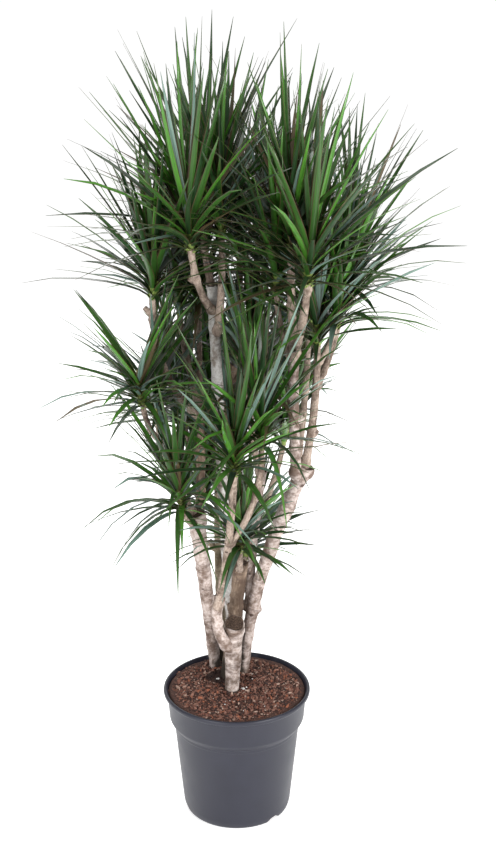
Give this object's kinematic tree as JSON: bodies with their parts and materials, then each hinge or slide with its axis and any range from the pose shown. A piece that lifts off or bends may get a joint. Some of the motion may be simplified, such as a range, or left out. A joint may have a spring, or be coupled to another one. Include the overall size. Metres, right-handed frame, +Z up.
{
  "type": "potted madagascar dragon tree",
  "caption": "Tall Madagascar dragon tree with cut-back pale canes and rosettes of narrow arching leaves, standing in a tapered grey nursery pot.",
  "frame": {"origin": "middle of the pot's flat underside", "axes": "+Z up along the canes, -Y towards the front of the plant, +X to the right as seen from the front"},
  "size_m": [0.778, 0.7736, 1.4673],
  "materials": {
    "pot_plastic": "moulded blue-grey plastic with a slight sheen",
    "potting_soil": "coarse matt peat and bark chips",
    "bark": "matt pale grey-beige bark with leaf scars",
    "leaf": "dark green leaf with a soft sheen"
  },
  "bodies": {
    "root": {"pot": "pot_plastic", "potting_soil": "potting_soil", "cane_left": "bark", "cane_front": "bark", "cane_right": "bark", "cane_middle": "bark", "cane_tall": "bark", "cane_slim": "bark", "bough_left_low": "bark", "bough_left_dark": "bark", "bough_left_hooked": "bark", "bough_left_rear": "bark", "bough_left_thin": "bark", "bough_front_cut": "bark", "bough_front": "bark", "bough_front_right": "bark", "bough_slim": "bark", "bough_slim_top": "bark", "bough_slim_rear": "bark", "bough_right_inner": "bark", "bough_right_mid": "bark", "bough_right_fore": "bark", "bough_right_outer": "bark", "bough_right_far": "bark", "bough_right_rear": "bark", "bough_tall_left": "bark", "bough_tall_right": "bark", "bough_tall_mid": "bark", "bough_back": "bark", "bough_slim_right": "bark", "leaves_left_low": "leaf", "leaves_left_hooked": "leaf", "leaves_left_rear": "leaf", "leaves_left_thin": "leaf", "leaves_front": "leaf", "leaves_front_right": "leaf", "leaves_slim_top": "leaf", "leaves_slim_rear": "leaf", "leaves_right_mid": "leaf", "leaves_right_fore": "leaf", "leaves_right_outer": "leaf", "leaves_right_far": "leaf", "leaves_right_rear": "leaf", "leaves_tall_left": "leaf", "leaves_tall_right": "leaf", "leaves_tall_mid": "leaf", "leaves_back": "leaf", "leaves_slim_right": "leaf", "leaves_left_drooping": "leaf", "leaves_left_inner": "leaf", "leaves_left_fore": "leaf", "leaves_left_middle": "leaf", "leaves_low_fore": "leaf", "leaves_low_right": "leaf", "leaves_right_hanging": "leaf", "leaves_right_edge": "leaf", "leaves_right_low": "leaf", "leaves_back_far": "leaf", "leaves_slim_left": "leaf"}
  },
  "joints": []
}
